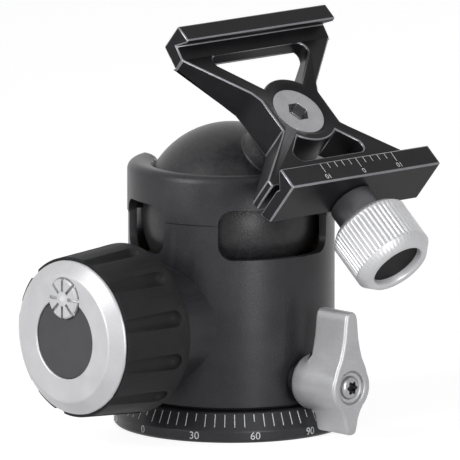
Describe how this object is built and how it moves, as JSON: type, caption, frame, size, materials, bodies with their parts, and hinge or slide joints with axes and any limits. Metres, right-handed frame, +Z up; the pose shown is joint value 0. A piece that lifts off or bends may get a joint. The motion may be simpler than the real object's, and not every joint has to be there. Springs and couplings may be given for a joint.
{
  "type": "tripod ball head",
  "caption": "Low-profile tripod ball head with a graduated pan base, skeleton dovetail clamp, rubber-gripped main knob with friction dial, and wing pan lock.",
  "frame": {"origin": "mouth of the tripod thread, centre of the base underside", "axes": "+Z up the base axis, main knob along -X, pan lock lever along -Y"},
  "size_m": [0.0742, 0.0798, 0.0878],
  "materials": {
    "ball_anodised": "dark grey anodised, fine satin",
    "black_anodised": "black hard-anodised, bead-blasted satin",
    "black_plastic": "moulded black",
    "brass": "turned brass",
    "polymer": "acetal, black",
    "rubber": "moulded matt rubber",
    "silver_anodised": "clear anodised satin",
    "stainless": "turned stainless steel",
    "steel_dark": "oiled steel"
  },
  "bodies": {
    "base": {"base_plate": "black_anodised", "thread_bushing": "stainless", "pan_post": "steel_dark", "pan_drum": "steel_dark", "base_screws": "stainless", "drum_screws": "steel_dark", "lower_pan_washer": "polymer"},
    "housing": {"housing": "black_anodised", "floor_ring": "black_anodised", "upper_ball_seat": "polymer", "lower_ball_cup": "brass", "cup_spring": "stainless", "wedge_carrier": "black_anodised", "main_bushing": "brass", "pan_bushing": "brass"},
    "ball": {"ball_stem": "ball_anodised"},
    "clamp": {"clamp_frame": "black_anodised", "clamp_screw": "stainless"},
    "jaw": {"moving_jaw": "black_anodised", "jaw_guide_pins": "stainless"},
    "clamp_knob": {"clamp_knob_collar": "silver_anodised", "clamp_knob": "silver_anodised", "clamp_knob_plug": "black_plastic", "draw_screw": "stainless"},
    "main_knob": {"main_knob_core": "black_anodised", "main_knob_grip": "rubber", "main_knob_ring": "silver_anodised", "main_knob_inlay": "black_anodised", "main_spindle": "stainless", "main_knob_screw": "steel_dark"},
    "friction_dial": {"friction_dial": "silver_anodised", "friction_dial_stem": "stainless"},
    "wedge": {"pressure_wedge": "brass"},
    "pan_lever": {"pan_lever": "silver_anodised", "pan_lever_screw": "stainless", "pan_spindle": "stainless", "pan_lever_collar": "stainless"},
    "pan_shoe": {"pan_shoe": "brass"}
  },
  "joints": [
    {"name": "pan_turn", "type": "hinge", "parent": "base", "child": "housing", "pos_m": [0, 0, 0.0062], "axis": [0, 0, 1], "continuous": true},
    {"name": "ball_lean", "type": "hinge", "parent": "housing", "child": "ball", "pos_m": [0, 0, 0.0452], "axis": [1, 0, 0], "range_deg": [-130.5, 10]},
    {"name": "clamp_turn", "type": "hinge", "parent": "ball", "child": "clamp", "pos_m": [0, -0.01526, 0.06307], "axis": [0, -0.6494, 0.7604], "range_deg": [-90, 90]},
    {"name": "jaw_slide", "type": "slide", "parent": "clamp", "child": "jaw", "axis": [0, -0.7604, -0.6494], "range_m": [-0.00125, 0.00375]},
    {"name": "clamp_knob_turn", "type": "hinge", "parent": "jaw", "child": "clamp_knob", "pos_m": [0, -0.04072, 0.04777], "axis": [0, -0.7604, -0.6494], "range_deg": [-360, 1080]},
    {"name": "main_knob_turn", "type": "hinge", "parent": "housing", "child": "main_knob", "pos_m": [-0.0274, 0, 0.0239], "axis": [-1, 0, 0], "range_deg": [-90, 90]},
    {"name": "wedge_slide", "type": "slide", "parent": "housing", "child": "wedge", "axis": [1, 0, 0], "range_m": [-0.00025, 0.00025]},
    {"name": "friction_dial_turn", "type": "hinge", "parent": "main_knob", "child": "friction_dial", "pos_m": [-0.0464, 0, 0.03245], "axis": [-1, 0, 0], "range_deg": [-150, 150]},
    {"name": "pan_lever_turn", "type": "hinge", "parent": "housing", "child": "pan_lever", "pos_m": [0, -0.0249, 0.0121], "axis": [0, -1, 0], "range_deg": [-15, 75]},
    {"name": "pan_shoe_slide", "type": "slide", "parent": "housing", "child": "pan_shoe", "axis": [0, 1, 0], "range_m": [-0.00017, 0.00004]}
  ],
  "couplings": [
    {"joint": "jaw_slide", "follows": "clamp_knob_turn", "m_per_rad": 0.00019894},
    {"joint": "wedge_slide", "follows": "main_knob_turn", "m_per_rad": -0.00015915},
    {"joint": "pan_shoe_slide", "follows": "pan_lever_turn", "m_per_rad": -0.00012732}
  ]
}
